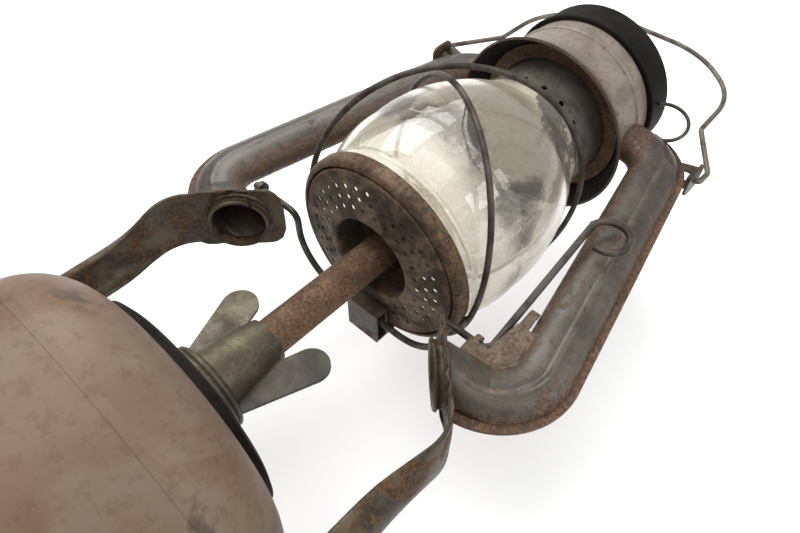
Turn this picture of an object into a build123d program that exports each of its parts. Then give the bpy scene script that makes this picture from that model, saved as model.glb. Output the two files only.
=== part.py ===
from build123d import *
from math import cos, radians, sin
import os

# Tubular railway lantern, standing on its base ring.
# +Z is up the lantern's axis, +X points to the right side tube, -Y is the front.
# The origin is the centre of the base, on the ground. Millimetres.

# ---------------------------------------------------------------- driving dimensions
sheet = 0.9                 # tin plate of the frame and font
plate_z = 178.0             # underside of the globe-plate ring above the ground
plate_ring_r = 45.0         # outside of the globe-plate ring
clearance = 0.5             # gap round parts that slide past each other

font_r = 69.5               # font side wall
font_wall_top = 53.0        # height of the font's side wall
font_crown_z = 82.0         # top of the font dome
font_disc_r = 44.5          # reinforcing disc on the dome
font_shoulder_r = 48.0      # where the dome's cone turns into its rounded shoulder
base_height = 17.0          # base ring band
bead_r = 2.0                # rolled foot bead of the base ring
foot_width = 2.0            # flat worn on the underside of the bead
foot_depth = 0.6

riser_r = 7.7               # riser tube outside
riser_bottom = 88.0
riser_top = plate_z + 9.0
collar_r = 18.8             # winged collar, at its bottom bead
collar_bottom = 84.5
collar_top = 116.0
wing_tip_x = 20.5           # centre of each wing's round tip
wing_tip_z = 119.0
wing_tip_r = 7.4
wing_sheet = 1.6

arm_x = 76.0                # middle of each arm's channel
arm_half_width = 10.0       # half the channel's width, along Y
arm_depth = 7.5             # channel depth, along X
flange_x = 58.0             # centre of the air hole in each flange
flange_z = plate_z - 29.0
flange_half_width = 16.5
flange_inner_reach = 20.0   # from the air hole's centre to the round end
flange_outer_reach = 31.0   # from the air hole's centre to the arm's outer face
flange_sheet = 1.4
mouth_r = 13.0              # round air hole in the flange

tube_a = 11.5               # side tube, half width in the plane of the frame
tube_b = 8.0                # side tube, half depth front to back
tube_wall = 0.9
seam_lip = 2.2              # how far the tube's outer seam stands out
elbow_x = 66.5              # centre of the lower elbow
elbow_z = plate_z - 8.0
elbow_r = 19.5
flare_turn = 30.0           # where the tube starts to flare towards its mouth, degrees round the elbow
tube_lean = 11.0            # lean of the straight run towards the hood, degrees
tube_run_top = plate_z + 117.0
crown_bend_r = 22.0
crown_turn = 69.0           # turn of the upper bend, degrees

skirt_z = plate_z + 113.4   # lower lip of the hood
skirt_r = 45.7
barrel_r = 39.4
barrel_foot_z = skirt_z + 19.0
barrel_top = plate_z + 164.0
hood_sheet = 0.9
cap_bottom = plate_z + 151.0
cap_shoulder = plate_z + 169.0
cap_top = plate_z + 181.0
cap_vents = 12
guide_ring_z = plate_z + 124.0
bell_bottom = plate_z + 98.0
bell_r = 31.2
bell_holes_z = plate_z + 104.0
bell_holes = 18
bell_top = plate_z + 138.0

plate_hole_r = 19.4         # opening in the globe plate round the riser
ring_top_z = plate_z + 3.4  # upper edge of the ring round the plate
draught_top_z = plate_z + 20.0   # top of the plate's sleeve round the riser
perforation_rows = [(25.5, 26), (29.8, 30), (34.1, 34)]   # radius, number of holes
perforation_r = 1.15
seat_z = plate_z + 2.0      # shelf that carries the globe

wire_r = 1.3                # guard hoops and bail
hoop_a_r = 61.5
hoop_a_x = -3.3
hoop_a_z = plate_z + 47.5
hoop_a_tilt = 45.0
hoop_a_turn = -10.0         # turn of the leaning hoop round the lantern's axis
hoop_b_r = 57.0
hoop_b_x = -1.0
hoop_b_z = plate_z + 35.0
hoop_b_tilt = 33.0
hoop_b_turn = 20.0

crank_r = 1.5               # wire of the globe-lift lever
crank_z = plate_z - 9.5     # height of the lever's pivot line
crank_throw = 34.0          # pivot line to the cross bar behind the plate
crank_side = 42.0           # half the length of the cross bar
crank_swing = 26.0          # turn of the lever that lifts the globe fully, degrees
crank_left_end = -70.0
lever_x = 64.6              # where the wire turns up into the lever
lever_tip_x = 62.6
lever_tip_y = -13.0
lever_height = 71.0
tip_r = 1.65                # solder ball where the finger loop joins the lever
finger_loop_r = 8.5

ear_pivot_z = plate_z + 131.0
ear_flange_x = 76.0
ear_sheet = 1.2
bail_pivot_x = 79.5
bail_waist_x = 62.0
bail_waist_z = plate_z + 168.0
bail_shoulder_z = plate_z + 205.0
bail_top_z = plate_z + 232.0
bail_grip_half = 30.0       # half the flat stretch at the top of the bail

os.makedirs("parts", exist_ok=True)


def finish(builder, name):
    builder.part.label = name
    export_step(builder.part, f"parts/{name}.step")


# ---------------------------------------------------------------- base and font
seam_r = font_r + 0.2
ring_inner_r = seam_r + clearance
with BuildPart() as base_ring:
    with BuildSketch(Plane.XZ):
        with Locations((ring_inner_r + sheet / 2, (base_height + bead_r) / 2)):
            Rectangle(sheet, base_height - bead_r)
        with Locations((ring_inner_r + bead_r, bead_r)):
            Circle(bead_r)
        with Locations((ring_inner_r + bead_r, foot_depth / 2)):
            Rectangle(foot_width, foot_depth)
        with Locations((ring_inner_r + sheet, base_height - 1.0)):
            Circle(sheet)
    revolve(axis=Axis.Z)
finish(base_ring, "base_ring")

with BuildPart() as font_cup:
    with BuildSketch(Plane.XZ):
        with BuildLine():
            Polyline((0, 1.6), (52, 1.6), (56, 0.3), (font_r - 4, 0.3))
            TangentArc((font_r - 4, 0.3), (font_r, 4.3), tangent=(1, 0))
            Line((font_r, 4.3), (font_r, font_wall_top - 2))
            Line((font_r, font_wall_top - 2), (font_r - sheet, font_wall_top - 2))
            Line((font_r - sheet, font_wall_top - 2), (font_r - sheet, 4.3))
            TangentArc((font_r - sheet, 4.3), (font_r - 4, 0.3 + sheet), tangent=(0, -1))
            Polyline((font_r - 4, 0.3 + sheet), (56.2, 0.3 + sheet), (52.2, 1.6 + sheet),
                     (0, 1.6 + sheet), (0, 1.6))
        make_face()
    revolve(axis=Axis.Z)
finish(font_cup, "font_cup")

neck_r = 14.0
shoulder_z = font_crown_z - 5.7
with BuildPart() as font_dome:
    with BuildSketch(Plane.XZ):
        with BuildLine():
            Polyline((neck_r, font_crown_z), (18.6, font_crown_z), (26.0, font_crown_z - 1.85))
            cone = Line((26.0, font_crown_z - 1.85), (font_shoulder_r, shoulder_z))
            TangentArc((font_shoulder_r, shoulder_z), (seam_r, font_wall_top + 1.0), tangent=cone % 1)
            Polyline((seam_r, font_wall_top + 1.0), (seam_r, font_wall_top - 2.0),
                     (seam_r - 1.2, font_wall_top - 2.0), (seam_r - 1.2, font_wall_top + 1.9))
            ThreePointArc((seam_r - 1.2, font_wall_top + 1.9), (61.5, 68.2),
                          (font_shoulder_r - 0.2, shoulder_z - 1.0))
            Polyline((font_shoulder_r - 0.2, shoulder_z - 1.0), (26.0, font_crown_z - 2.85),
                     (18.6, font_crown_z - 1.0), (neck_r, font_crown_z - 1.0), (neck_r, font_crown_z))
        make_face()
    revolve(axis=Axis.Z)
finish(font_dome, "font_dome")

disc_rim_z = font_crown_z - 5.0
disc_top_z = font_crown_z - 0.9
with BuildPart() as font_top_disc:
    with BuildSketch(Plane.XZ):
        with BuildLine():
            Polyline((28.0, disc_top_z - 1.0), (40.0, disc_top_z - 1.2), (43.2, disc_top_z - 2.2),
                     (font_disc_r - 0.9, disc_rim_z), (font_disc_r, disc_rim_z),
                     (font_disc_r, disc_rim_z + 2.4), (41.0, disc_top_z - 0.2), (28.0, disc_top_z),
                     (28.0, disc_top_z - 1.0))
        make_face()
    revolve(axis=Axis.Z)
finish(font_top_disc, "font_top_disc")

with BuildPart() as font_neck:
    with BuildSketch(Plane.XZ):
        with BuildLine():
            Polyline((riser_r + clearance, font_crown_z - 4.0), (neck_r, font_crown_z - 4.0),
                     (neck_r, font_crown_z + 0.2), (neck_r - 1.2, font_crown_z + 1.4),
                     (neck_r - 1.2, collar_bottom + 7.0), (riser_r + clearance, collar_bottom + 7.0),
                     (riser_r + clearance, font_crown_z - 4.0))
        make_face()
    revolve(axis=Axis.Z)
finish(font_neck, "font_neck")

with BuildPart() as neck_gasket:
    with BuildSketch(Plane.XZ):
        with Locations((neck_r + 2.2, font_crown_z + 1.0)):
            Rectangle(4.0, 1.6)
    revolve(axis=Axis.Z)
    fillet(neck_gasket.edges().filter_by(GeomType.CIRCLE).sort_by(SortBy.RADIUS)[-2:], radius=0.5)
finish(neck_gasket, "neck_gasket")

# ---------------------------------------------------------------- burner, riser and winged collar
thread_r = neck_r - 1.2 + 0.4
with BuildPart() as winged_collar:
    with BuildSketch(Plane.XZ):
        with BuildLine():
            Polyline((thread_r, collar_bottom), (collar_r - 1.4, collar_bottom))
            ThreePointArc((collar_r - 1.4, collar_bottom), (collar_r, collar_bottom + 1.4),
                          (collar_r - 1.4, collar_bottom + 2.8))
            ThreePointArc((collar_r - 1.4, collar_bottom + 2.8), (collar_r - 0.9, collar_bottom + 4.0),
                          (collar_r - 2.0, collar_bottom + 5.2))
            Polyline((collar_r - 2.0, collar_bottom + 5.2), (13.6, collar_bottom + 6.4),
                     (10.0, collar_top - 3.0), (9.4, collar_top), (riser_r, collar_top),
                     (riser_r, collar_bottom + 8.4), (thread_r, collar_bottom + 8.4),
                     (thread_r, collar_bottom))
        make_face()
    revolve(axis=Axis.Z)
    for side in (-1, 1):
        with BuildSketch(Plane.XZ):
            wing_root = [(side * 8.6, collar_bottom + 7.5), (side * 16.4, collar_bottom + 3.4),
                         (side * 10.0, collar_top - 5.0)]
            with BuildLine():
                Polyline(*wing_root, wing_root[0])
            make_face()
            with Locations((side * wing_tip_x, wing_tip_z)):
                Circle(wing_tip_r)
            make_hull()
        extrude(amount=wing_sheet / 2, both=True)
    with BuildSketch(Plane.XY.offset(collar_bottom)):
        Circle(riser_r)
    extrude(amount=collar_top - collar_bottom + wing_tip_r * 2, mode=Mode.SUBTRACT)
    with BuildSketch(Plane.XY.offset(collar_bottom)):
        Circle(thread_r)
    extrude(amount=8.4, mode=Mode.SUBTRACT)
finish(winged_collar, "winged_collar")

with BuildPart() as riser_tube:
    with BuildSketch(Plane.XY.offset(riser_bottom)):
        Circle(riser_r)
        Circle(riser_r - 1.0, mode=Mode.SUBTRACT)
    extrude(amount=riser_top - riser_bottom)
finish(riser_tube, "riser_tube")

wick_tube_r = 6.2
with BuildPart() as wick_tube:
    with BuildSketch(Plane.XY.offset(riser_top - 8.0)):
        Circle(riser_r - 1.0)
        Circle(wick_tube_r - 0.6, mode=Mode.SUBTRACT)
    extrude(amount=8.0)
    with BuildSketch(Plane.XY.offset(riser_top)):
        Circle(wick_tube_r)
        Circle(wick_tube_r - 0.6, mode=Mode.SUBTRACT)
    extrude(amount=19.0)
finish(wick_tube, "wick_tube")

with BuildPart() as wick:
    with BuildSketch(Plane.XY.offset(8.0)):
        Circle(5.2)
    extrude(amount=riser_top + 21.5 - 8.0)
finish(wick, "wick")

burner_r = 16.5
with BuildPart() as burner_cup:
    with BuildSketch(Plane.XZ):
        with BuildLine():
            Polyline((wick_tube_r, riser_top), (burner_r, riser_top), (burner_r, riser_top + 6.0),
                     (burner_r - 0.8, riser_top + 6.0), (burner_r - 0.8, riser_top + 0.8),
                     (wick_tube_r, riser_top + 0.8), (wick_tube_r, riser_top))
        make_face()
    revolve(axis=Axis.Z)
    with BuildSketch(Plane.XY.offset(riser_top)):
        with PolarLocations(11.5, 10):
            Circle(1.6)
    extrude(amount=0.8, mode=Mode.SUBTRACT)
finish(burner_cup, "burner_cup")

with BuildPart() as burner_cone:
    with BuildSketch(Plane.XZ):
        with BuildLine():
            ThreePointArc((burner_r, riser_top + 6.0), (14.0, riser_top + 15.5), (8.0, riser_top + 21.0))
            Line((8.0, riser_top + 21.0), (7.4, riser_top + 20.4))
            ThreePointArc((7.4, riser_top + 20.4), (13.3, riser_top + 15.0),
                          (burner_r - 0.8, riser_top + 6.0))
            Line((burner_r - 0.8, riser_top + 6.0), (burner_r, riser_top + 6.0))
        make_face()
    revolve(axis=Axis.Z)
finish(burner_cone, "burner_cone")

# ---------------------------------------------------------------- side tubes, as one solid first
straight_start = (elbow_x + elbow_r * cos(radians(tube_lean)), elbow_z + elbow_r * sin(radians(tube_lean)))
run_length = (tube_run_top - straight_start[1]) / cos(radians(tube_lean))
straight_end = (straight_start[0] - run_length * sin(radians(tube_lean)), tube_run_top)
bend_centre = (straight_end[0] - crown_bend_r * cos(radians(tube_lean)),
               straight_end[1] - crown_bend_r * sin(radians(tube_lean)))
hood_reach = 14.0           # how far it runs into the hood, before it is cut

flare_angle = flare_turn - 90

with BuildLine(Plane.XZ) as tube_path:
    CenterArc((elbow_x, elbow_z), elbow_r, start_angle=flare_angle, arc_size=tube_lean - flare_angle)
    Line(straight_start, straight_end)
    upper_bend = CenterArc(bend_centre, crown_bend_r, start_angle=tube_lean, arc_size=crown_turn)
    Line(upper_bend @ 1, upper_bend @ 1 + (upper_bend % 1) * hood_reach)

with BuildLine(Plane.XZ) as seam_path:
    CenterArc((elbow_x, elbow_z), elbow_r, start_angle=-90, arc_size=90 + tube_lean)
    Line(straight_start, straight_end)
    add(upper_bend)

flare_start = Plane(origin=(elbow_x + elbow_r * cos(radians(flare_angle)), 0,
                            elbow_z + elbow_r * sin(radians(flare_angle))),
                    x_dir=(0, 1, 0), z_dir=(-sin(radians(flare_angle)), 0, cos(radians(flare_angle))))
seam_start = Plane(origin=(elbow_x, 0, elbow_z - elbow_r), x_dir=(0, 1, 0), z_dir=(1, 0, 0))
mouth_plane = Plane(origin=(flange_x, 0, flange_z), x_dir=(0, 1, 0), z_dir=(1, 0, 1))

with BuildPart() as tube_outside:
    with BuildSketch(flare_start):
        Ellipse(tube_b, tube_a)
    sweep(path=tube_path.line)

with BuildPart() as tube_inside:
    with BuildSketch(flare_start):
        Ellipse(tube_b - tube_wall, tube_a - tube_wall)
    sweep(path=tube_path.line)

with BuildPart() as mouth_outside:
    with BuildSketch(mouth_plane):
        Ellipse(mouth_r + tube_wall, mouth_r + tube_wall - 0.01)
    with BuildSketch(flare_start):
        Ellipse(tube_b, tube_a)
    loft()

with BuildPart() as mouth_inside:
    with BuildSketch(mouth_plane):
        Ellipse(mouth_r, mouth_r - 0.01)
    with BuildSketch(flare_start):
        Ellipse(tube_b - tube_wall, tube_a - tube_wall)
    loft()

with BuildPart() as seam_strip:
    with BuildSketch(seam_start):
        with Locations((0, -(tube_a + seam_lip / 2))):
            Rectangle(1.8, seam_lip + 1.2)
    sweep(path=seam_path.line)

flange_plane = Plane(origin=(flange_x, 0, flange_z), x_dir=(-0.70710678, 0, 0.70710678),
                     z_dir=(0.70710678, 0, 0.70710678))

with BuildPart() as barrel_outline:
    with BuildSketch(Plane.XZ):
        with BuildLine():
            Line((0, skirt_z), (skirt_r, skirt_z))
            ThreePointArc((skirt_r, skirt_z), (41.2, skirt_z + 8.0), (barrel_r, barrel_foot_z))
            Polyline((barrel_r, barrel_foot_z), (barrel_r, barrel_top), (0, barrel_top), (0, skirt_z))
        make_face()
    revolve(axis=Axis.Z)

# the barrel comes first, because the tubes are cut where they meet it
with BuildPart() as hood_barrel:
    with BuildSketch(Plane.XZ):
        with BuildLine():
            Polyline((skirt_r - 0.2, skirt_z - 0.8), (skirt_r + 0.7, skirt_z - 0.2),
                     (skirt_r + 0.4, skirt_z + 0.9), (skirt_r - 0.5, skirt_z + 1.4))
            ThreePointArc((skirt_r - 0.5, skirt_z + 1.4), (41.0, skirt_z + 9.0), (barrel_r, barrel_foot_z))
            Line((barrel_r, barrel_foot_z), (barrel_r, barrel_foot_z + 8.0))
            ThreePointArc((barrel_r, barrel_foot_z + 8.0), (barrel_r + 0.9, barrel_foot_z + 9.5),
                          (barrel_r, barrel_foot_z + 11.0))
            Polyline((barrel_r, barrel_foot_z + 11.0), (barrel_r, barrel_top),
                     (barrel_r - hood_sheet, barrel_top), (barrel_r - hood_sheet, barrel_foot_z))
            ThreePointArc((barrel_r - hood_sheet, barrel_foot_z), (40.1, skirt_z + 9.0),
                          (skirt_r - 1.5, skirt_z + 0.8))
            Line((skirt_r - 1.5, skirt_z + 0.8), (skirt_r - 0.2, skirt_z - 0.8))
        make_face()
    revolve(axis=Axis.Z)
    add(tube_inside.part, mode=Mode.SUBTRACT)
    mirror(tube_inside.part, about=Plane.YZ, mode=Mode.SUBTRACT)
finish(hood_barrel, "hood_barrel")

with BuildPart() as right_tube:
    add(tube_outside.part)
    add(mouth_outside.part)
    add(seam_strip.part)
    add(tube_inside.part, mode=Mode.SUBTRACT)
    add(mouth_inside.part, mode=Mode.SUBTRACT)
    split(bisect_by=flange_plane.offset(flange_sheet / 2), keep=Keep.TOP)
    add(barrel_outline.part, mode=Mode.SUBTRACT)
    add(hood_barrel.part, mode=Mode.SUBTRACT)

with BuildPart() as right_tube_front:
    add(right_tube.part)
    split(bisect_by=Plane.XZ, keep=Keep.TOP)
finish(right_tube_front, "right_tube_front")

with BuildPart() as right_tube_back:
    add(right_tube.part)
    split(bisect_by=Plane.XZ, keep=Keep.BOTTOM)
finish(right_tube_back, "right_tube_back")

with BuildPart() as left_tube_front:
    mirror(right_tube_front.part, about=Plane.YZ)
finish(left_tube_front, "left_tube_front")

with BuildPart() as left_tube_back:
    mirror(right_tube_back.part, about=Plane.YZ)
finish(left_tube_back, "left_tube_back")

# ---------------------------------------------------------------- arms with their flanges
arm_bottom = 2.0 * bead_r + 0.2
lip_depth = 1.8
with BuildPart() as right_arm:
    with BuildSketch(Plane.XY.offset(arm_bottom)):
        with Locations((arm_x - arm_depth / 2, 0)):
            Ellipse(arm_depth, arm_half_width)
            Ellipse(arm_depth - 1.2, arm_half_width - 1.2, mode=Mode.SUBTRACT)
            with Locations((-arm_depth, 0)):
                Rectangle(2 * arm_depth, 3 * arm_half_width, mode=Mode.SUBTRACT)
    extrude(amount=flange_z - arm_bottom)
    split(bisect_by=flange_plane, keep=Keep.BOTTOM)
    with BuildSketch(flange_plane.offset(-flange_sheet / 2)):
        with BuildLine():
            ThreePointArc((flange_inner_reach - 9.0, -flange_half_width), (flange_inner_reach, 0),
                          (flange_inner_reach - 9.0, flange_half_width))
            Polyline((flange_inner_reach - 9.0, flange_half_width), (-13.0, flange_half_width),
                     (-flange_outer_reach, arm_half_width - 1.0),
                     (-flange_outer_reach, -arm_half_width + 1.0),
                     (-13.0, -flange_half_width), (flange_inner_reach - 9.0, -flange_half_width))
        make_face()
    extrude(amount=flange_sheet)
    with BuildSketch(flange_plane.offset(-flange_sheet / 2 - lip_depth)):
        Circle(mouth_r + 1.3)
    extrude(amount=lip_depth)
    with BuildSketch(flange_plane.offset(-flange_sheet / 2 - lip_depth)):
        Circle(mouth_r)
    extrude(amount=flange_sheet + lip_depth, mode=Mode.SUBTRACT)
    with BuildSketch(flange_plane.offset(-flange_sheet)):
        with Locations((flange_inner_reach - 3.4, 3.0)):
            Circle(0.9)
    extrude(amount=2 * flange_sheet, mode=Mode.SUBTRACT)
finish(right_arm, "right_arm")

with BuildPart() as left_arm:
    mirror(right_arm.part, about=Plane.YZ)
finish(left_arm, "left_arm")

with BuildPart() as arm_rivets:
    for side in (-1, 1):
        with BuildSketch(Plane.YZ.offset(side * (arm_x + arm_depth / 2))):
            with Locations((0, 7.5), (0, 13.5)):
                Circle(2.2)
        extrude(amount=side * 1.2)
finish(arm_rivets, "arm_rivets")

# ---------------------------------------------------------------- hood cap, bell and stay
cap_inner = barrel_r
with BuildPart() as hood_cap:
    with BuildSketch(Plane.XZ):
        with BuildLine():
            Line((cap_inner, cap_bottom), (cap_inner + 1.8, cap_bottom))
            ThreePointArc((cap_inner + 1.8, cap_bottom), (cap_inner + 2.7, cap_bottom + 1.3),
                          (cap_inner + 1.6, cap_bottom + 2.4))
            Line((cap_inner + 1.6, cap_bottom + 2.4), (cap_inner + 1.4, cap_shoulder))
            ThreePointArc((cap_inner + 1.4, cap_shoulder), (30.0, cap_top - 3.6), (14.0, cap_top))
            Polyline((14.0, cap_top), (0, cap_top), (0, cap_top - 1.0), (13.8, cap_top - 1.0))
            ThreePointArc((13.8, cap_top - 1.0), (29.4, cap_top - 4.5), (cap_inner, cap_shoulder - 0.6))
            Line((cap_inner, cap_shoulder - 0.6), (cap_inner, cap_bottom))
        make_face()
    revolve(axis=Axis.Z)
    with BuildSketch(Plane.XY.offset(cap_shoulder)):
        with PolarLocations(27.0, cap_vents):
            SlotOverall(9.0, 4.0, rotation=90)
    extrude(amount=cap_top - cap_shoulder, mode=Mode.SUBTRACT)
finish(hood_cap, "hood_cap")

with BuildPart() as bell_guide_ring:
    with BuildSketch(Plane.XZ):
        with BuildLine():
            Polyline((bell_r + clearance, guide_ring_z + 3.0), (bell_r + clearance, guide_ring_z),
                     (barrel_r - hood_sheet, guide_ring_z), (barrel_r - hood_sheet, guide_ring_z + 1.0),
                     (bell_r + clearance + 0.9, guide_ring_z + 1.0),
                     (bell_r + clearance + 0.9, guide_ring_z + 3.0),
                     (bell_r + clearance, guide_ring_z + 3.0))
        make_face()
    revolve(axis=Axis.Z)
    add(tube_inside.part, mode=Mode.SUBTRACT)
    mirror(tube_inside.part, about=Plane.YZ, mode=Mode.SUBTRACT)
finish(bell_guide_ring, "bell_guide_ring")

with BuildPart() as bell:
    with BuildSketch(Plane.XZ):
        with BuildLine():
            Polyline((bell_r + 1.6, bell_bottom), (bell_r + 1.6, bell_bottom + 1.2),
                     (bell_r, bell_bottom + 2.4),
                     (bell_r, guide_ring_z + 4.0), (bell_r - 5.0, bell_top), (bell_r - 5.9, bell_top),
                     (bell_r - 0.9, guide_ring_z + 3.6), (bell_r - 0.9, bell_bottom + 1.2),
                     (bell_r - 3.6, bell_bottom + 1.2), (bell_r - 3.6, bell_bottom),
                     (bell_r + 1.6, bell_bottom))
        make_face()
    revolve(axis=Axis.Z)
    for i in range(bell_holes):
        angle = radians(i * 360 / bell_holes)
        with BuildSketch(Plane(origin=(0, 0, bell_holes_z), x_dir=(-sin(angle), cos(angle), 0),
                               z_dir=(cos(angle), sin(angle), 0))):
            Circle(1.5)
        extrude(amount=bell_r + 2.0, mode=Mode.SUBTRACT)
finish(bell, "bell")

# thin wire loop from the cap's side to the crown of the right tube
with BuildPart() as hood_stay_wire:
    with BuildLine() as stay_path:
        ThreePointArc((cap_inner + 0.8, -9.0, plate_z + 160.0), (58.5, -7.0, plate_z + 157.0),
                      (52.6, -4.0, plate_z + 141.5))
    with BuildSketch(Plane(origin=stay_path.line @ 0, z_dir=stay_path.line % 0)):
        Circle(0.9)
    sweep(path=stay_path.line)
    add(hood_cap.part, mode=Mode.SUBTRACT)
    add(tube_outside.part, mode=Mode.SUBTRACT)
finish(hood_stay_wire, "hood_stay_wire")

# ---------------------------------------------------------------- bail and its ears
with BuildPart() as right_bail_ear:
    with BuildSketch(Plane.XZ):
        with BuildLine():
            Polyline((58.0, ear_pivot_z - 15.0), (ear_flange_x, ear_pivot_z - 8.0),
                     (ear_flange_x, ear_pivot_z + 10.0), (58.0, ear_pivot_z + 4.0),
                     (58.0, ear_pivot_z - 15.0))
        make_face()
        with Locations((ear_flange_x - 3.6, ear_pivot_z)):
            Circle(3.6, mode=Mode.SUBTRACT)
        with Locations((ear_flange_x - 2.0, ear_pivot_z)):
            Rectangle(4.2, 2 * wire_r + 1.8, mode=Mode.SUBTRACT)
    extrude(amount=ear_sheet / 2, both=True)
    with BuildSketch(Plane.YZ.offset(ear_flange_x)):
        with Locations((0, ear_pivot_z)):
            RectangleRounded(13.0, 15.0, 4.0)
            Circle(wire_r + 0.3, mode=Mode.SUBTRACT)
    extrude(amount=ear_sheet)
    add(tube_outside.part, mode=Mode.SUBTRACT)
    add(seam_strip.part, mode=Mode.SUBTRACT)
finish(right_bail_ear, "right_bail_ear")

with BuildPart() as left_bail_ear:
    mirror(right_bail_ear.part, about=Plane.YZ)
finish(left_bail_ear, "left_bail_ear")

pin_inner_x = ear_flange_x - 1.2
with BuildPart() as bail:
    with BuildLine(Plane.XZ) as bail_path:
        FilletPolyline((-pin_inner_x, ear_pivot_z), (-bail_pivot_x, ear_pivot_z),
                       (-bail_pivot_x, ear_pivot_z + 9.0), (-bail_waist_x, bail_waist_z),
                       (-bail_waist_x + 1.0, bail_shoulder_z), (-bail_grip_half, bail_top_z),
                       (bail_grip_half, bail_top_z), (bail_waist_x - 1.0, bail_shoulder_z),
                       (bail_waist_x, bail_waist_z), (bail_pivot_x, ear_pivot_z + 9.0),
                       (bail_pivot_x, ear_pivot_z), (pin_inner_x, ear_pivot_z),
                       radius=[2.0, 6.0, 6.0, 40.0, 50.0, 50.0, 40.0, 6.0, 6.0, 2.0])
    with BuildSketch(Plane(origin=(-pin_inner_x, 0, ear_pivot_z), z_dir=(-1, 0, 0))):
        Circle(wire_r)
    sweep(path=bail_path.line)
    for side in (-1, 1):
        with BuildSketch(Plane.YZ.offset(side * (pin_inner_x - 0.8))):
            with Locations((0, ear_pivot_z)):
                Circle(2.1)
        extrude(amount=side * 1.2)
finish(bail, "bail")

# ---------------------------------------------------------------- globe carrier
with BuildPart() as plate_ring:
    with BuildSketch(Plane.XZ):
        with BuildLine():
            Polyline((plate_ring_r - 0.8, ring_top_z), (plate_ring_r, ring_top_z),
                     (plate_ring_r, plate_z))
            ThreePointArc((plate_ring_r, plate_z), (44.1, plate_z - 2.3), (42.0, plate_z - 3.3))
            Line((42.0, plate_z - 3.3), (41.8, plate_z - 2.4))
            ThreePointArc((41.8, plate_z - 2.4), (43.4, plate_z - 1.7), (plate_ring_r - 0.8, plate_z))
            Line((plate_ring_r - 0.8, plate_z), (plate_ring_r - 0.8, ring_top_z))
        make_face()
    revolve(axis=Axis.Z)
finish(plate_ring, "plate_ring")

plate_sheet = 0.8
with BuildPart() as globe_plate:
    with BuildSketch(Plane.XZ):
        with BuildLine():
            Line((plate_ring_r - 0.8, seat_z), (plate_ring_r - 0.8, seat_z - plate_sheet))
            Polyline((plate_ring_r - 0.8, seat_z - plate_sheet), (41.0, seat_z - plate_sheet),
                     (41.0, plate_z - 3.2), (40.4, plate_z - 4.0), (38.6, plate_z - 4.0))
            Line((38.6, plate_z - 4.0), (21.4, plate_z - 6.9))
            ThreePointArc((21.4, plate_z - 6.9), (19.9, plate_z - 6.6), (plate_hole_r, plate_z - 5.2))
            Polyline((plate_hole_r, plate_z - 5.2), (plate_hole_r, draught_top_z),
                     (plate_hole_r + plate_sheet, draught_top_z), (plate_hole_r + plate_sheet, plate_z - 5.0))
            ThreePointArc((plate_hole_r + plate_sheet, plate_z - 5.0), (20.5, plate_z - 5.9),
                          (21.4, plate_z - 6.1))
            Polyline((21.4, plate_z - 6.1), (38.6, plate_z - 3.2), (40.2, plate_z - 3.0), (40.2, seat_z),
                     (plate_ring_r - 0.8, seat_z))
        make_face()
    revolve(axis=Axis.Z)
    for row, (row_r, count) in enumerate(perforation_rows):
        with BuildSketch(Plane.XY.offset(plate_z - 8.0)):
            with PolarLocations(row_r, count, start_angle=row * 6.0):
                Circle(perforation_r)
        extrude(amount=6.0, mode=Mode.SUBTRACT)
finish(globe_plate, "globe_plate")

globe_base = [(40.6, 2.0), (43.4, 2.0), (43.8, 4.5), (43.4, 7.4)]
with BuildPart() as globe:
    with BuildSketch(Plane.XZ):
        with BuildLine():
            Polyline(*[(r, plate_z + z) for r, z in globe_base])
            ThreePointArc((43.4, plate_z + 7.4), (42.8, plate_z + 9.0), (43.6, plate_z + 10.6))
            ThreePointArc((43.6, plate_z + 10.6), (48.0, plate_z + 22.0), (49.2, plate_z + 34.0))
            ThreePointArc((49.2, plate_z + 34.0), (46.2, plate_z + 66.0), (34.0, plate_z + 91.5))
            Polyline((34.0, plate_z + 91.5), (32.4, plate_z + 94.0), (32.4, bell_bottom), (30.2, bell_bottom),
                     (30.2, plate_z + 93.2), (32.0, plate_z + 90.2))
            ThreePointArc((32.0, plate_z + 90.2), (44.0, plate_z + 65.2), (47.0, plate_z + 34.0))
            ThreePointArc((47.0, plate_z + 34.0), (45.8, plate_z + 22.6), (41.4, plate_z + 11.4))
            Polyline((41.4, plate_z + 11.4), (40.6, plate_z + 8.0), (40.6, plate_z + 2.0))
        make_face()
    revolve(axis=Axis.Z)
finish(globe, "globe")

with BuildPart() as guard_hoop_outer:
    hoop_a = Torus(hoop_a_r, wire_r, rotation=(0, -hoop_a_tilt, 0), mode=Mode.PRIVATE)
    add(hoop_a.moved(Location((hoop_a_x, 0, hoop_a_z))).rotate(Axis.Z, hoop_a_turn))
finish(guard_hoop_outer, "guard_hoop_outer")

with BuildPart() as guard_hoop_inner:
    hoop_b = Torus(hoop_b_r, wire_r, rotation=(0, hoop_b_tilt, 0), mode=Mode.PRIVATE)
    add(hoop_b.moved(Location((hoop_b_x, 0, hoop_b_z))).rotate(Axis.Z, hoop_b_turn))
finish(guard_hoop_inner, "guard_hoop_inner")

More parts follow.
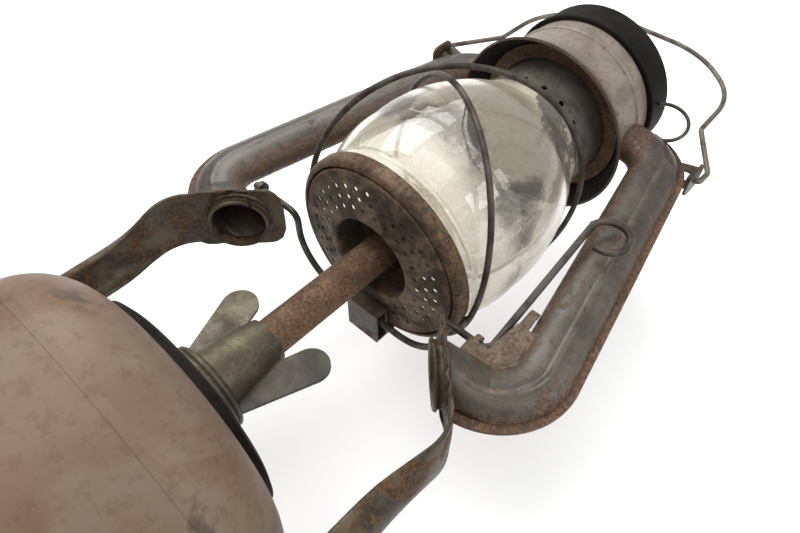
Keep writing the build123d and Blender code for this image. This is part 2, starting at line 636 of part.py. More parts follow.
clip_front_y = crank_throw * cos(radians(crank_swing)) - crank_r - 0.8
clip_back_y = plate_ring_r
clip_half = 9.0
with BuildPart() as hinge_clip:
    with BuildSketch(Plane.YZ.offset(-clip_half)):
        with Locations(((clip_front_y - 1 + clip_back_y + 1) / 2, crank_z)):
            Rectangle(clip_back_y - clip_front_y + 2, 2 * crank_r + 4.0)
            Rectangle(clip_back_y - clip_front_y, 2 * crank_r + 2.0, mode=Mode.SUBTRACT)
        with Locations((clip_back_y + 0.5, (crank_z + ring_top_z) / 2)):
            Rectangle(1.0, ring_top_z - crank_z)
    extrude(amount=2 * clip_half)
    with BuildSketch(Plane.XY.offset(plate_z - 4.0)):
        Circle(plate_ring_r)
    extrude(amount=12.0, mode=Mode.SUBTRACT)
finish(hinge_clip, "hinge_clip")

# ---------------------------------------------------------------- globe-lift lever and its bearings
lever_top_z = crank_z + lever_height
bend_start_x = crank_side + 5.5
loop_x = lever_tip_x + finger_loop_r
loop_z = lever_top_z - 0.2 * finger_loop_r
with BuildPart() as lift_lever:
    with BuildLine(Plane.XY.offset(crank_z)) as crank_path:
        FilletPolyline((crank_left_end, 0), (-crank_side, 0), (-crank_side, crank_throw),
                       (crank_side, crank_throw), (crank_side, 0), (bend_start_x, 0),
                       radius=[5.0, 24.0, 24.0, 5.0])
    with BuildSketch(Plane(origin=(crank_left_end, 0, crank_z), z_dir=(1, 0, 0))):
        Circle(crank_r)
    sweep(path=crank_path.line)
    with BuildLine() as lever_path:
        FilletPolyline((bend_start_x, 0, crank_z), (lever_x, 0, crank_z),
                       (lever_tip_x, lever_tip_y, lever_top_z), radius=4.0)
    with BuildSketch(Plane(origin=(bend_start_x, 0, crank_z), z_dir=(1, 0, 0))):
        Circle(crank_r)
    sweep(path=lever_path.line)
    with Locations((lever_tip_x, lever_tip_y, lever_top_z)):
        Sphere(tip_r)
    with BuildLine(Plane.XZ.offset(-lever_tip_y)) as loop_path:
        CenterArc((loop_x, loop_z), finger_loop_r * 1.02, start_angle=168.7, arc_size=-268)
    with BuildSketch(Plane(origin=loop_path.line @ 0, z_dir=loop_path.line % 0)):
        Circle(crank_r)
    sweep(path=loop_path.line)
finish(lift_lever, "lift_lever")

eyelet_x = -66.0
with BuildPart() as left_eyelet:
    with BuildSketch(Plane.YZ.offset(eyelet_x - 1.2)):
        with Locations((0, crank_z)):
            Circle(crank_r + 0.3 + 1.6)
            Circle(crank_r + 0.3, mode=Mode.SUBTRACT)
    extrude(amount=2.4)
    with BuildSketch(Plane.XY.offset(crank_z - crank_r - 0.8)):
        with Locations((eyelet_x, 0)):
            Circle(1.2)
    extrude(amount=-8.0)
    mirror(tube_outside.part, about=Plane.YZ, mode=Mode.SUBTRACT)
    mirror(mouth_outside.part, about=Plane.YZ, mode=Mode.SUBTRACT)
finish(left_eyelet, "left_eyelet")

bracket_y = -4.8
bracket_sheet = 1.2
eye_x = 59.0                # middle of the eye that carries the wire
eye_width = 2.4
with BuildPart() as lever_bracket:
    with BuildSketch(Plane.XZ.offset(-bracket_y - bracket_sheet / 2)):
        with BuildLine():
            Polyline((lever_x + 2.3, plate_z + 5.0), (75.6, plate_z + 5.2), (79.0, plate_z - 8.0),
                     (74.0, plate_z - 20.0), (eye_x - 1.2, plate_z - 20.0), (eye_x - 1.6, crank_z - 2.4),
                     (lever_x + 1.0, crank_z - 2.4), (lever_x + 2.3, plate_z + 5.0))
        make_face()
    extrude(amount=bracket_sheet)
    with BuildSketch(Plane.YZ.offset(eye_x - eye_width / 2)):
        with Locations((0, crank_z)):
            Circle(crank_r + 0.3 + 1.6)
        with Locations((bracket_y / 2, crank_z - 3.4)):
            Rectangle(-bracket_y, 3.0)
        with Locations((0, crank_z)):
            Circle(crank_r + 0.3, mode=Mode.SUBTRACT)
    extrude(amount=eye_width)
    add(tube_outside.part, mode=Mode.SUBTRACT)
    add(mouth_outside.part, mode=Mode.SUBTRACT)
    add(right_arm.part, mode=Mode.SUBTRACT)
finish(lever_bracket, "lever_bracket")
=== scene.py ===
import math

import bpy
from mathutils import Matrix, Vector, noise


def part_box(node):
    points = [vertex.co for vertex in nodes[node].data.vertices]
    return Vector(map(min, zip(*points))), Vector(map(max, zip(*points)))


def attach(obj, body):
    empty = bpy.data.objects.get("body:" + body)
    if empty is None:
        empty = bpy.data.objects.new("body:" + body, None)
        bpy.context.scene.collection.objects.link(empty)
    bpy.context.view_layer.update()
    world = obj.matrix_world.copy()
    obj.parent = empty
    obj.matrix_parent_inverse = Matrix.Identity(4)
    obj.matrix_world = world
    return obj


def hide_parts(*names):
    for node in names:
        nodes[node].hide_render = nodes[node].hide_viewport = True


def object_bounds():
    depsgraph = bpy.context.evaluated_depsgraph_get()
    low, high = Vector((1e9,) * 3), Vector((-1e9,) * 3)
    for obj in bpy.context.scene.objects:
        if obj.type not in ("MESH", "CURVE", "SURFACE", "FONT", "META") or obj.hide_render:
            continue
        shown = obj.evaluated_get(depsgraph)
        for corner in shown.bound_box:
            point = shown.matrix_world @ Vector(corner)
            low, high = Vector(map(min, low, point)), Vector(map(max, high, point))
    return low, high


# The looks of a weathered railway lantern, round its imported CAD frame.
# Materials, lights and camera are in metres, and added pieces in millimetres.
# +Z is up the lantern, and -Y its front.
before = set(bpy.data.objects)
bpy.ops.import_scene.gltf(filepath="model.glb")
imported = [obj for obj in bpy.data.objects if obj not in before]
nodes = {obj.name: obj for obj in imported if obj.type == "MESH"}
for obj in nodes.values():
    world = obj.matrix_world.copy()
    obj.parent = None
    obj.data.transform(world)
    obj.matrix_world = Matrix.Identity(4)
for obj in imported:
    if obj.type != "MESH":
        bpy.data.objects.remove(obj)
cad_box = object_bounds()
MM = 0.001


# ---------------------------------------------------------------- materials: a small node-building helper
class Surface:
    """A procedural material whose patterns are laid out in the frame's own coordinates."""

    def __init__(self, name):
        self.material = bpy.data.materials.new(name)
        self.material.use_nodes = True
        self.tree = self.material.node_tree
        self.shader = self.tree.nodes["Principled BSDF"]
        self.place = self.tree.nodes.new("ShaderNodeTexCoord").outputs["Object"]
        split = self.tree.nodes.new("ShaderNodeSeparateXYZ")
        self.link(self.place, split.inputs[0])
        self.x, self.y, self.z = split.outputs

    def link(self, a, b):
        self.tree.links.new(a, b)

    def put(self, value, socket):
        """Sets a socket to a number or a colour, or links another node's output to it."""
        if isinstance(value, bpy.types.NodeSocket):
            self.link(value, socket)
        elif isinstance(value, tuple) and len(value) == 3:
            socket.default_value = (*value, 1.0)
        else:
            socket.default_value = value

    def noise(self, size, detail=6.0, rough=0.6, bend=0.0, seed=0.0):
        """Cloudy 0-1 noise whose blotches are about size metres across."""
        move = self.tree.nodes.new("ShaderNodeMapping")
        move.inputs["Location"].default_value = (seed, seed * 1.7, seed * 2.3)
        self.link(self.place, move.inputs[0])
        node = self.tree.nodes.new("ShaderNodeTexNoise")
        node.inputs["Scale"].default_value = 1 / size
        node.inputs["Detail"].default_value = detail
        node.inputs["Roughness"].default_value = rough
        node.inputs["Distortion"].default_value = bend
        self.link(move.outputs[0], node.inputs["Vector"])
        return node.outputs["Fac"]

    def cells(self, size, seed=0.0):
        """Distance to the nearest of many scattered points, about size metres apart."""
        move = self.tree.nodes.new("ShaderNodeMapping")
        move.inputs["Location"].default_value = (seed, seed * 1.3, seed * 0.7)
        self.link(self.place, move.inputs[0])
        node = self.tree.nodes.new("ShaderNodeTexVoronoi")
        node.inputs["Scale"].default_value = 1 / size
        self.link(move.outputs[0], node.inputs["Vector"])
        return node.outputs["Distance"]

    def span(self, value, low, high, out_low=0.0, out_high=1.0):
        """A smooth step of value from low to high."""
        node = self.tree.nodes.new("ShaderNodeMapRange")
        node.interpolation_type = "SMOOTHSTEP"
        node.inputs["From Min"].default_value = low
        node.inputs["From Max"].default_value = high
        node.inputs["To Min"].default_value = out_low
        node.inputs["To Max"].default_value = out_high
        self.put(value, node.inputs["Value"])
        return node.outputs[0]

    def math(self, operation, a, b=0.0, clamp=False):
        node = self.tree.nodes.new("ShaderNodeMath")
        node.operation = operation
        node.use_clamp = clamp
        self.put(a, node.inputs[0])
        self.put(b, node.inputs[1])
        return node.outputs[0]

    def times(self, a, b):
        return self.math("MULTIPLY", a, b)

    def plus(self, a, b):
        return self.math("ADD", a, b)

    def either(self, a, b):
        return self.math("MAXIMUM", a, b)

    def near(self, value, centre, half, soft):
        """1 where value is within half of centre, fading to 0 over soft."""
        away = self.math("ABSOLUTE", self.math("SUBTRACT", value, centre))
        return self.span(away, half + soft, half)

    def radius(self):
        """Distance from the lantern's axis."""
        return self.math("SQRT", self.plus(self.times(self.x, self.x), self.times(self.y, self.y)))

    def mix(self, share, a, b):
        """Colour a where share is 0 and b where it is 1; sockets 6, 7 and 2 are the node's colour ones."""
        node = self.tree.nodes.new("ShaderNodeMix")
        node.data_type = "RGBA"
        self.put(share, node.inputs[0])
        self.put(a, node.inputs[6])
        self.put(b, node.inputs[7])
        return node.outputs[2]

    def finish(self, colour, rough, height, depth=0.4 * MM, strength=0.6, metallic=0.0, specular=0.22):
        """Feeds the shader, with height as a bump depth metres deep, and returns the material."""
        bump = self.tree.nodes.new("ShaderNodeBump")
        bump.inputs["Strength"].default_value = strength
        bump.inputs["Distance"].default_value = depth
        self.link(height, bump.inputs["Height"])
        self.link(bump.outputs[0], self.shader.inputs["Normal"])
        self.put(colour, self.shader.inputs["Base Color"])
        self.put(rough, self.shader.inputs["Roughness"])
        self.put(metallic, self.shader.inputs["Metallic"])
        self.shader.inputs["Specular IOR Level"].default_value = specular
        return self.material


def rust_layers(s, colour, rust_share, rust_dark, rust_light):
    """Lays rust over colour where rust_share is near 1, light flakes in dark stain."""
    flake = s.span(s.noise(1.6 * MM, 4, 0.7, seed=3.1), 0.42, 0.62)
    rust = s.mix(flake, rust_dark, rust_light)
    return s.mix(rust_share, colour, rust)


def weathered_sheet(name, pale, mid, dark, rust_dark, rust_light, rust_from=0.56, blotch=26 * MM,
                    metallic=0.15, rough=0.5, spots=0.45, specular=0.25, seed=0.0):
    """Old tin plate: cloudy greys and browns, dark spots and rust in patches."""
    s = Surface(name)
    cloud = s.noise(blotch, 7, 0.62, bend=0.6, seed=seed)
    fine = s.noise(3.2 * MM, 6, 0.7, seed=seed + 1)
    base = s.mix(s.span(cloud, 0.36, 0.62), mid, pale)
    grime = s.span(s.plus(s.times(fine, 0.6), s.times(cloud, 0.4)), 0.50, 0.42)
    base = s.mix(s.times(grime, spots), base, dark)
    patch = s.plus(s.times(s.noise(15 * MM, 8, 0.72, bend=0.9, seed=seed + 5), 0.7), s.times(fine, 0.3))
    rust = s.span(patch, rust_from, rust_from + 0.09)
    colour = rust_layers(s, base, s.times(rust, 0.85), rust_dark, rust_light)
    specks = s.span(s.cells(5.5 * MM, seed=seed + 2), 0.12, 0.06)
    colour = s.mix(s.times(specks, spots), colour, dark)
    grain = s.noise(0.7 * MM, 3, 0.6)
    height = s.plus(s.times(grain, 0.5), s.plus(s.times(fine, 0.8), s.times(rust, 0.7)))
    uneven = s.plus(s.times(cloud, 0.5), s.times(rust, 0.5))
    roughness = s.span(uneven, 0.2, 0.8, rough - 0.1, rough + 0.35)
    shine = s.math("MULTIPLY", s.math("SUBTRACT", 1.0, rust), metallic)
    return s.finish(colour, roughness, height, metallic=shine, specular=specular)


SKIRT_LIP = 0.2914              # height of the hood skirt's lower edge
SKIRT_TOP = 0.3104              # height where the skirt meets the straight barrel
SKIRT_RISE = SKIRT_TOP - SKIRT_LIP
SKIRT_MIDDLE = 0.03895          # radius to the middle of the barrel's wall
SKIRT_FLARE = 0.00605           # how far the skirt's lip stands out from that
SKIRT_CURVE = 1.9               # power of the skirt's flare
ELBOW = (0.0665, 0.170)         # x and z of the middle of each lower elbow
ELBOW_R = 0.0195                # radius of an elbow's centreline
RUN_START = (0.08564, 0.17372)  # where the straight run begins, and its outward direction
RUN_SIDE = (0.9816, 0.1908)


def tube_side(s):
    """How far a point lies from the side tube's centreline, outwards positive, in the plane of the frame."""
    x = s.math("ABSOLUTE", s.x)
    dx, dz = s.math("SUBTRACT", x, ELBOW[0]), s.math("SUBTRACT", s.z, ELBOW[1])
    length = s.math("SQRT", s.plus(s.times(dx, dx), s.times(dz, dz)))
    round_elbow = s.math("SUBTRACT", length, ELBOW_R)
    along_x = s.times(s.math("SUBTRACT", x, RUN_START[0]), RUN_SIDE[0])
    along_z = s.times(s.math("SUBTRACT", s.z, RUN_START[1]), RUN_SIDE[1])
    straight = s.plus(along_x, along_z)
    upper = s.math("GREATER_THAN", s.z, RUN_START[1])
    return s.plus(s.times(upper, straight), s.times(s.math("SUBTRACT", 1.0, upper), round_elbow))


def tin_tubes():
    """Side tubes: smooth dull grey-brown, a pale worn crease, brown inner side, a rusty seam and painted
    shade, dark brown, inside the bore.
    """
    s = Surface("weathered_tin_tubes")
    side = tube_side(s)
    cloud = s.noise(34 * MM, 6, 0.6, bend=0.5)
    fine = s.noise(2.6 * MM, 6, 0.72, seed=1.0)
    streak = s.noise(9 * MM, 5, 0.6, bend=0.4, seed=6.0)
    base = s.mix(s.span(cloud, 0.38, 0.62), (0.046, 0.041, 0.032), (0.088, 0.079, 0.062))
    base = s.mix(s.times(s.span(fine, 0.46, 0.34), 0.55), base, (0.024, 0.020, 0.015))
    wobble = s.times(s.math("SUBTRACT", streak, 0.5), 9 * MM)
    inner = s.span(s.plus(side, wobble), -4.5 * MM, -9.5 * MM)
    base = s.mix(s.times(inner, 0.75), base, (0.094, 0.056, 0.031))
    crease = s.near(s.plus(side, s.times(wobble, 0.18)), 2.6 * MM, 0.2 * MM, 1.5 * MM)
    worn = s.times(crease, s.span(streak, 0.40, 0.62))
    base = s.mix(s.times(worn, 0.6), base, (0.165, 0.138, 0.104))
    edge = s.span(s.plus(side, s.times(wobble, 0.7)), 8.6 * MM, 11.4 * MM)
    rust = s.times(edge, s.span(fine, 0.36, 0.52))
    patch = s.plus(s.times(streak, 0.6), s.times(fine, 0.4))
    rust = s.either(rust, s.times(s.span(patch, 0.565, 0.64), 0.8))
    rust = s.either(rust, s.times(inner, s.times(s.span(fine, 0.44, 0.58), 0.8)))
    colour = rust_layers(s, base, s.times(rust, 0.85), (0.060, 0.030, 0.015), (0.180, 0.084, 0.036))
    # Painted shade: the tube's bore, inside the oval of its cross-section, is made dark brown.
    bore_shade_oval = s.plus(s.math("POWER", s.times(side, 1 / (11.5 * MM)), 2.0),
                  s.math("POWER", s.times(s.y, 1 / (8.0 * MM)), 2.0))
    colour = s.mix(s.times(s.span(bore_shade_oval, 0.92, 0.88), 0.9), colour, (0.045, 0.022, 0.014))
    pits = s.span(s.cells(4.2 * MM, seed=2.0), 0.10, 0.05)
    colour = s.mix(s.times(pits, 0.6), colour, (0.030, 0.024, 0.019))
    grain = s.noise(0.7 * MM, 3, 0.6)
    height = s.plus(s.times(grain, 0.4), s.plus(s.times(fine, 0.7), s.times(rust, 0.6)))
    height = s.plus(height, s.times(crease, 1.4))
    roughness = s.span(s.plus(s.times(cloud, 0.5), s.times(rust, 0.5)), 0.2, 0.8, 0.34, 0.80)
    shine = s.math("MULTIPLY", s.math("SUBTRACT", 1.0, rust), 0.3)
    return s.finish(colour, roughness, height, metallic=shine, specular=0.45)


def tin_arms():
    """Arms, rivets, base ring and bail ears: dark brown tin, half rusted."""
    return weathered_sheet("weathered_tin_arms", pale=(0.090, 0.066, 0.038), mid=(0.046, 0.036, 0.022),
                           dark=(0.016, 0.012, 0.008), rust_dark=(0.044, 0.021, 0.010),
                           rust_light=(0.150, 0.072, 0.030), rust_from=0.50, blotch=18 * MM,
                           spots=0.7, seed=4.0)


def hood_sheet():
    """Hood: mauve-grey above, rusty brown towards the flared skirt, and painted shade, near black, inside."""
    s = Surface("mauve_grey_hood")
    skirt = s.span(s.z, SKIRT_TOP, SKIRT_LIP)
    down = s.math("MULTIPLY", s.math("SUBTRACT", SKIRT_TOP, s.z), 1 / SKIRT_RISE, clamp=True)
    flare = s.times(s.math("POWER", down, SKIRT_CURVE), SKIRT_FLARE)
    depth = s.math("SUBTRACT", s.radius(), s.plus(flare, SKIRT_MIDDLE))
    inside = s.span(depth, 0.15 * MM, -0.15 * MM)
    cloud = s.noise(22 * MM, 7, 0.62, bend=0.6, seed=7.0)
    fine = s.noise(2.8 * MM, 6, 0.72, seed=8.0)
    base = s.mix(s.span(cloud, 0.36, 0.62), (0.165, 0.132, 0.106), (0.245, 0.208, 0.174))
    base = s.mix(s.times(s.span(fine, 0.46, 0.34), 0.6), base, (0.066, 0.048, 0.036))
    ragged = s.plus(s.times(cloud, 0.6), s.plus(s.times(fine, 0.4), s.times(skirt, 0.16)))
    rust = s.span(ragged, 0.545, 0.66)
    colour = rust_layers(s, base, s.times(rust, 0.8), (0.075, 0.040, 0.022), (0.175, 0.096, 0.052))
    colour = s.mix(s.times(s.span(skirt, 0.55, 1.0), 0.75), colour, (0.036, 0.026, 0.018))
    # Painted shade: the inside of the barrel and its skirt is made near black.
    colour = s.mix(s.times(inside, 0.94), colour, (0.010, 0.008, 0.006))
    height = s.plus(s.times(s.noise(0.7 * MM, 3, 0.6), 0.4), s.plus(s.times(fine, 0.8), s.times(rust, 0.6)))
    roughness = s.either(s.span(rust, 0.0, 1.0, 0.42, 0.8), s.times(inside, 0.85))
    return s.finish(colour, roughness, height, metallic=0.12, specular=0.35)


def bell_sheet():
    """Bell: grey-green tin with little rust."""
    return weathered_sheet("grey_green_bell", pale=(0.112, 0.107, 0.086), mid=(0.082, 0.079, 0.062),
                           dark=(0.034, 0.031, 0.025), rust_dark=(0.080, 0.045, 0.025),
                           rust_light=(0.140, 0.085, 0.048), rust_from=0.62, seed=9.0)


def sooty_sheet():
    """Cap and the font's disc: dull black with a few rust flecks."""
    return weathered_sheet("soot_black_sheet", pale=(0.014, 0.012, 0.010), mid=(0.007, 0.006, 0.005),
                           dark=(0.003, 0.003, 0.003), rust_dark=(0.024, 0.013, 0.008),
                           rust_light=(0.060, 0.030, 0.016), rust_from=0.60, rough=0.75, metallic=0.0,
                           specular=0.08, seed=11.0)


def clip_sheet():
    """Hinge clip: brown tin with small blotches of rust."""
    return weathered_sheet("brown_hinge_sheet", pale=(0.085, 0.064, 0.043), mid=(0.050, 0.039, 0.027),
                           dark=(0.022, 0.017, 0.012), rust_dark=(0.055, 0.027, 0.014),
                           rust_light=(0.150, 0.076, 0.038), rust_from=0.50, blotch=9 * MM, seed=14.0)


def font_sheet():
    """The oil font: smooth copper-brown rust film with grey wear and soft dark blotches."""
    s = Surface("brown_font_sheet")
    cloud = s.noise(70 * MM, 5, 0.5, bend=0.8)
    wear = s.noise(38 * MM, 6, 0.55, bend=1.2, seed=2.0)
    fine = s.noise(4 * MM, 6, 0.65, seed=5.0)
    base = s.mix(s.span(cloud, 0.40, 0.60), (0.148, 0.088, 0.052), (0.165, 0.116, 0.078))
    base = s.mix(s.times(s.span(wear, 0.50, 0.66), 0.75), base, (0.190, 0.146, 0.110))
    blotch = s.plus(s.times(s.noise(15 * MM, 4, 0.55, bend=0.5, seed=8.0), 0.75), s.times(fine, 0.25))
    patches = s.times(s.span(blotch, 0.545, 0.635), s.span(s.noise(60 * MM, 2, 0.5, seed=12.0), 0.44, 0.56))
    base = s.mix(s.times(patches, 0.75), base, (0.050, 0.044, 0.038))
    base = s.mix(s.times(s.span(fine, 0.50, 0.64), 0.3), base, (0.090, 0.050, 0.031))
    height = s.plus(s.times(fine, 0.5), s.times(s.noise(0.9 * MM, 3, 0.6), 0.5))
    rough = s.span(wear, 0.35, 0.7, 0.44, 0.62)
    return s.finish(base, rough, height, depth=0.15 * MM, strength=0.35, metallic=0.25)


def brass(name, shade=1.0):
    """Olive-brown brass patina with green bloom, soft grime, worn bright specks, and painted shade that
    darkens the right side.
    """
    def tint(red, green, blue):
        return red * shade, green * shade, blue * shade

    s = Surface(name)
    cloud = s.noise(16 * MM, 6, 0.6, bend=0.4)
    fine = s.noise(1.6 * MM, 5, 0.72, seed=4.0)
    olive, brown, verdigris = tint(0.088, 0.074, 0.042), tint(0.054, 0.041, 0.028), tint(0.104, 0.104, 0.046)
    grime, worn, painted_side_shade = tint(0.024, 0.019, 0.014), tint(0.230, 0.188, 0.112), tint(0.032, 0.029, 0.025)
    base = s.mix(s.span(cloud, 0.34, 0.64), brown, olive)
    bloom = s.span(s.noise(10 * MM, 5, 0.6, bend=0.3, seed=7.0), 0.50, 0.66)
    base = s.mix(s.times(bloom, 0.8), base, verdigris)
    base = s.mix(s.times(s.span(fine, 0.46, 0.34), 0.7), base, grime)
    base = s.mix(s.times(s.span(fine, 0.58, 0.70), 0.5), base, worn)
    # Painted shade: the right side, away from the key light, is darkened.
    dull = s.span(s.plus(s.x, s.times(s.math("SUBTRACT", cloud, 0.5), 10 * MM)), 8 * MM, 15 * MM)
    base = s.mix(s.times(dull, 0.7), base, painted_side_shade)
    spots = s.span(s.cells(3.6 * MM, seed=1.0), 0.15, 0.08)
    base = s.mix(s.times(spots, 0.6), base, (0.022, 0.016, 0.011))
    height = s.plus(s.times(fine, 0.8), s.times(cloud, 0.5))
    rough = s.span(cloud, 0.35, 0.65, 0.62, 0.40)
    return s.finish(base, rough, height, depth=0.3 * MM, metallic=0.35, specular=0.4)


def speckled_rust(name, light, mid, dark, seed=0.0):
    """Fine sandy rust, as on the riser and the lever's bracket."""
    s = Surface(name)
    grain = s.noise(1.2 * MM, 6, 0.8, seed=seed)
    cloud = s.noise(12 * MM, 6, 0.6, bend=0.5, seed=seed + 3)
    base = s.mix(s.span(cloud, 0.38, 0.62), mid, light)
    base = s.mix(s.times(s.span(grain, 0.54, 0.38), 0.85), base, dark)
    bright = tuple(1.7 * c for c in light)
    base = s.mix(s.times(s.span(grain, 0.56, 0.70), 0.6), base, bright)
    pits = s.span(s.cells(2.6 * MM, seed=seed), 0.16, 0.06)
    base = s.mix(s.times(pits, 0.4), base, dark)
    height = s.plus(s.times(grain, 1.0), s.times(cloud, 0.5))
    return s.finish(base, s.span(grain, 0.3, 0.7, 0.75, 0.55), height, depth=0.35 * MM, metallic=0.15)


def riser_rust():
    """Riser and the bell's guide ring: warm brown."""
    return speckled_rust("speckled_rust_riser", light=(0.160, 0.094, 0.052), mid=(0.092, 0.053, 0.031),
                         dark=(0.034, 0.021, 0.014))


def bracket_rust():
    """The lever's bracket: pale and dusty."""
    return speckled_rust("speckled_rust_bracket", light=(0.165, 0.120, 0.085), mid=(0.112, 0.076, 0.051),
                         dark=(0.048, 0.033, 0.023), seed=6.0)


def plate_sheet():
    """Globe plate and its ring: dark olive-brown, with orange rust towards the rim and in patches."""
    s = Surface("dark_globe_plate")
    fine = s.noise(2.4 * MM, 6, 0.7)
    cloud = s.noise(14 * MM, 6, 0.65, bend=0.8, seed=2.0)
    base = s.mix(s.span(cloud, 0.40, 0.62), (0.042, 0.036, 0.026), (0.150, 0.106, 0.064))
    base = s.mix(s.times(s.span(fine, 0.46, 0.38), 0.8), base, (0.046, 0.033, 0.021))
    ragged = s.plus(s.radius(), s.times(s.math("SUBTRACT", cloud, 0.5), 16 * MM))
    rim = s.times(s.span(ragged, 36 * MM, 41 * MM), s.span(fine, 0.40, 0.55))
    colour = rust_layers(s, base, s.times(rim, 0.55), (0.062, 0.034, 0.019), (0.190, 0.092, 0.044))
    rust = s.span(s.noise(9 * MM, 7, 0.7, seed=6.0), 0.56, 0.66)
    colour = rust_layers(s, colour, s.times(rust, 0.7), (0.060, 0.028, 0.014), (0.150, 0.072, 0.034))
    height = s.plus(s.times(fine, 0.9), s.times(s.noise(0.8 * MM, 3, 0.6), 0.4))
    return s.finish(colour, s.span(cloud, 0.3, 0.7, 0.75, 0.5), height, depth=0.3 * MM, metallic=0.25)


def wire(name, pale, dark, rust):
    """Drawn wire, dull, with grime and rust freckles."""
    s = Surface(name)
    cloud = s.noise(11 * MM, 6, 0.65)
    fine = s.noise(1.3 * MM, 5, 0.7, seed=3.0)
    base = s.mix(s.span(cloud, 0.38, 0.60), dark, pale)
    base = s.mix(s.times(s.span(fine, 0.52, 0.66), 0.8), base, rust)
    height = s.plus(s.times(fine, 1.0), s.times(cloud, 0.4))
    return s.finish(base, s.span(cloud, 0.35, 0.65, 0.62, 0.42), height, depth=0.2 * MM, metallic=0.45)


def dark_wire():
    """Guard hoops, stay wire, eyelet and lever."""
    return wire("dark_wire", (0.085, 0.078, 0.066), (0.036, 0.032, 0.027), (0.095, 0.050, 0.026))


def bail_wire():
    """The paler, greyer wire of the bail."""
    return wire("grey_brown_bail_wire", (0.170, 0.150, 0.128), (0.080, 0.066, 0.052), (0.130, 0.080, 0.050))


def solder():
    """Dull, lumpy grey solder."""
    s = Surface("old_solder")
    cloud = s.noise(4 * MM, 6, 0.65)
    base = s.mix(s.span(cloud, 0.40, 0.60), (0.050, 0.044, 0.036), (0.125, 0.108, 0.084))
    return s.finish(base, s.span(cloud, 0.3, 0.7, 0.65, 0.45), cloud, depth=0.5 * MM, metallic=0.4)


def cotton():
    """The wick's woven cotton, charred at its top."""
    s = Surface("woven_wick")
    weave = s.tree.nodes.new("ShaderNodeTexWave")
    weave.inputs["Scale"].default_value = 260
    weave.inputs["Distortion"].default_value = 1.5
    s.link(s.place, weave.inputs["Vector"])
    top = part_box("wick")[1].z
    char = s.span(s.z, top - 3 * MM, top - 1 * MM)
    base = s.mix(weave.outputs["Fac"], (0.36, 0.29, 0.20), (0.55, 0.47, 0.34))
    base = s.mix(char, base, (0.02, 0.018, 0.016))
    return s.finish(base, 0.9, weave.outputs["Fac"], depth=0.4 * MM)


def leather():
    """The gasket's dark pressed leather."""
    s = Surface("pressed_gasket")
    grain = s.noise(1.4 * MM, 6, 0.7)
    base = s.mix(grain, (0.045, 0.028, 0.018), (0.085, 0.052, 0.034))
    return s.finish(base, 0.8, grain, depth=0.25 * MM)


def glass():
    """Blown glass under a thin opaque film: cream haze at both ends, soot patches and specks of dust."""
    s = Surface("old_globe_glass")
    shader = s.shader
    shader.inputs["Base Color"].default_value = (0.955, 0.945, 0.905, 1.0)
    shader.inputs["Roughness"].default_value = 0.02
    shader.inputs["IOR"].default_value = 1.46
    shader.inputs["Transmission Weight"].default_value = 1.0
    waves = s.noise(22 * MM, 2, 0.4)
    bump = s.tree.nodes.new("ShaderNodeBump")
    bump.inputs["Strength"].default_value = 0.10
    bump.inputs["Distance"].default_value = 1.2 * MM
    s.link(waves, bump.inputs["Height"])
    s.link(bump.outputs[0], shader.inputs["Normal"])
    film = s.tree.nodes.new("ShaderNodeBsdfPrincipled")
    film.inputs["Roughness"].default_value = 0.7
    film.inputs["Specular IOR Level"].default_value = 0.2
    low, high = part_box("globe")
    cloud = s.noise(46 * MM, 5, 0.55, bend=0.4, seed=3.0)
    fine = s.noise(2.0 * MM, 5, 0.75, seed=9.0)
    above_rim = s.span(s.z, low.z + 14 * MM, low.z + 34 * MM)
    soot = s.times(s.span(s.plus(cloud, s.times(fine, 0.25)), 0.60, 0.80), above_rim)
    haze_top = s.span(s.z, high.z - 34 * MM, high.z - 6 * MM)
    haze_low = s.span(s.z, low.z + 20 * MM, low.z + 4 * MM)
    haze = s.times(s.either(haze_top, haze_low), s.span(cloud, 0.30, 0.70))
    dust = s.span(s.cells(4.5 * MM, seed=2.0), 0.10, 0.05)
    colour = s.mix(s.span(soot, 0.1, 0.6), (0.74, 0.67, 0.52), (0.15, 0.14, 0.12))
    s.put(colour, film.inputs["Base Color"])
    share = s.plus(s.times(haze, 0.34), s.plus(s.times(soot, 0.26), s.times(dust, 0.2)))
    share = s.plus(share, s.plus(s.times(s.span(fine, 0.40, 0.70), 0.10), 0.16))
    blend = s.tree.nodes.new("ShaderNodeMixShader")
    s.put(share, blend.inputs[0])
    s.link(shader.outputs[0], blend.inputs[1])
    s.link(film.outputs[0], blend.inputs[2])
    s.link(blend.outputs[0], s.tree.nodes["Material Output"].inputs["Surface"])
    return s.material


# ---------------------------------------------------------------- materials on the CAD nodes
def dress(material, *names):
    """Gives the named CAD nodes one material."""
    for name in names:
        mesh = nodes[name].data
        mesh.materials.clear()
        mesh.materials.append(material)


TUBES, ARMS, HOOD, BELL, SOOT = tin_tubes(), tin_arms(), hood_sheet(), bell_sheet(), sooty_sheet()
FONT, BRASS, DARK_BRASS = font_sheet(), brass("olive_brass"), brass("sooty_burner_brass", 0.45)
RISER, BRACKET, PLATE = riser_rust(), bracket_rust(), plate_sheet()
DARK_WIRE, BAIL_WIRE, SOLDER = dark_wire(), bail_wire(), solder()

